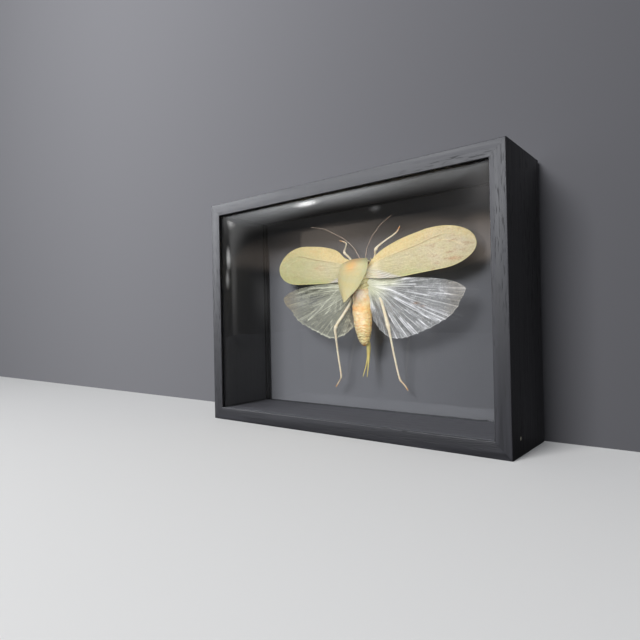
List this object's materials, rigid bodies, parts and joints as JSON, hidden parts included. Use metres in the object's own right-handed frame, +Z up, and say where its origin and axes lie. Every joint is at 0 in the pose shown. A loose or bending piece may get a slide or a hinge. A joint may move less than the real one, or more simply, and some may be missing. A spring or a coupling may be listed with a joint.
{
  "type": "winged insect in a glazed box frame",
  "caption": "Spread winged insect held between a domed front pane and a flat back pane in a deep black wooden box frame.",
  "frame": {"origin": "centre of the bottom rail's lower face, at the mount base", "axes": "+X to the right along the front, +Y from the front face to the back, +Z up"},
  "size_m": [0.25, 0.0614, 0.18],
  "materials": {
    "frame_wood": "black-stained wood, satin, faint grain along each rail",
    "nail": "dull brass",
    "front_pane": "clear, polished, shallow dome",
    "back_pane": "clear, polished, flat",
    "thorax": "dry olive shell",
    "abdomen": "dry, satin, ringed",
    "head": "dry, satin",
    "hood": "dry, satin, fine-pored",
    "forewing": "dry leaf-like, fine veins",
    "hindwing": "thin pleated film with white veins",
    "leg": "ivory, brown at the feet",
    "antenna": "thin brown hair",
    "ovipositor": "yellow-green, satin",
    "glue": "clear dried glue"
  },
  "bodies": {
    "root": {"rail_bottom": "frame_wood", "rail_top": "frame_wood", "rail_left": "frame_wood", "rail_right": "frame_wood", "corner_nail": "nail", "front_pane": "front_pane", "back_pane": "back_pane", "thorax": "thorax", "abdomen": "abdomen", "head": "head", "hood": "hood", "forewing_left": "forewing", "forewing_right": "forewing", "hindwing_left": "hindwing", "hindwing_right": "hindwing", "front_leg_left": "leg", "front_leg_right": "leg", "middle_leg_left": "leg", "middle_leg_right": "leg", "rear_leg_left": "leg", "rear_leg_right": "leg", "antenna_left": "antenna", "antenna_right": "antenna", "ovipositor": "ovipositor", "glue_dab": "glue"}
  },
  "joints": []
}
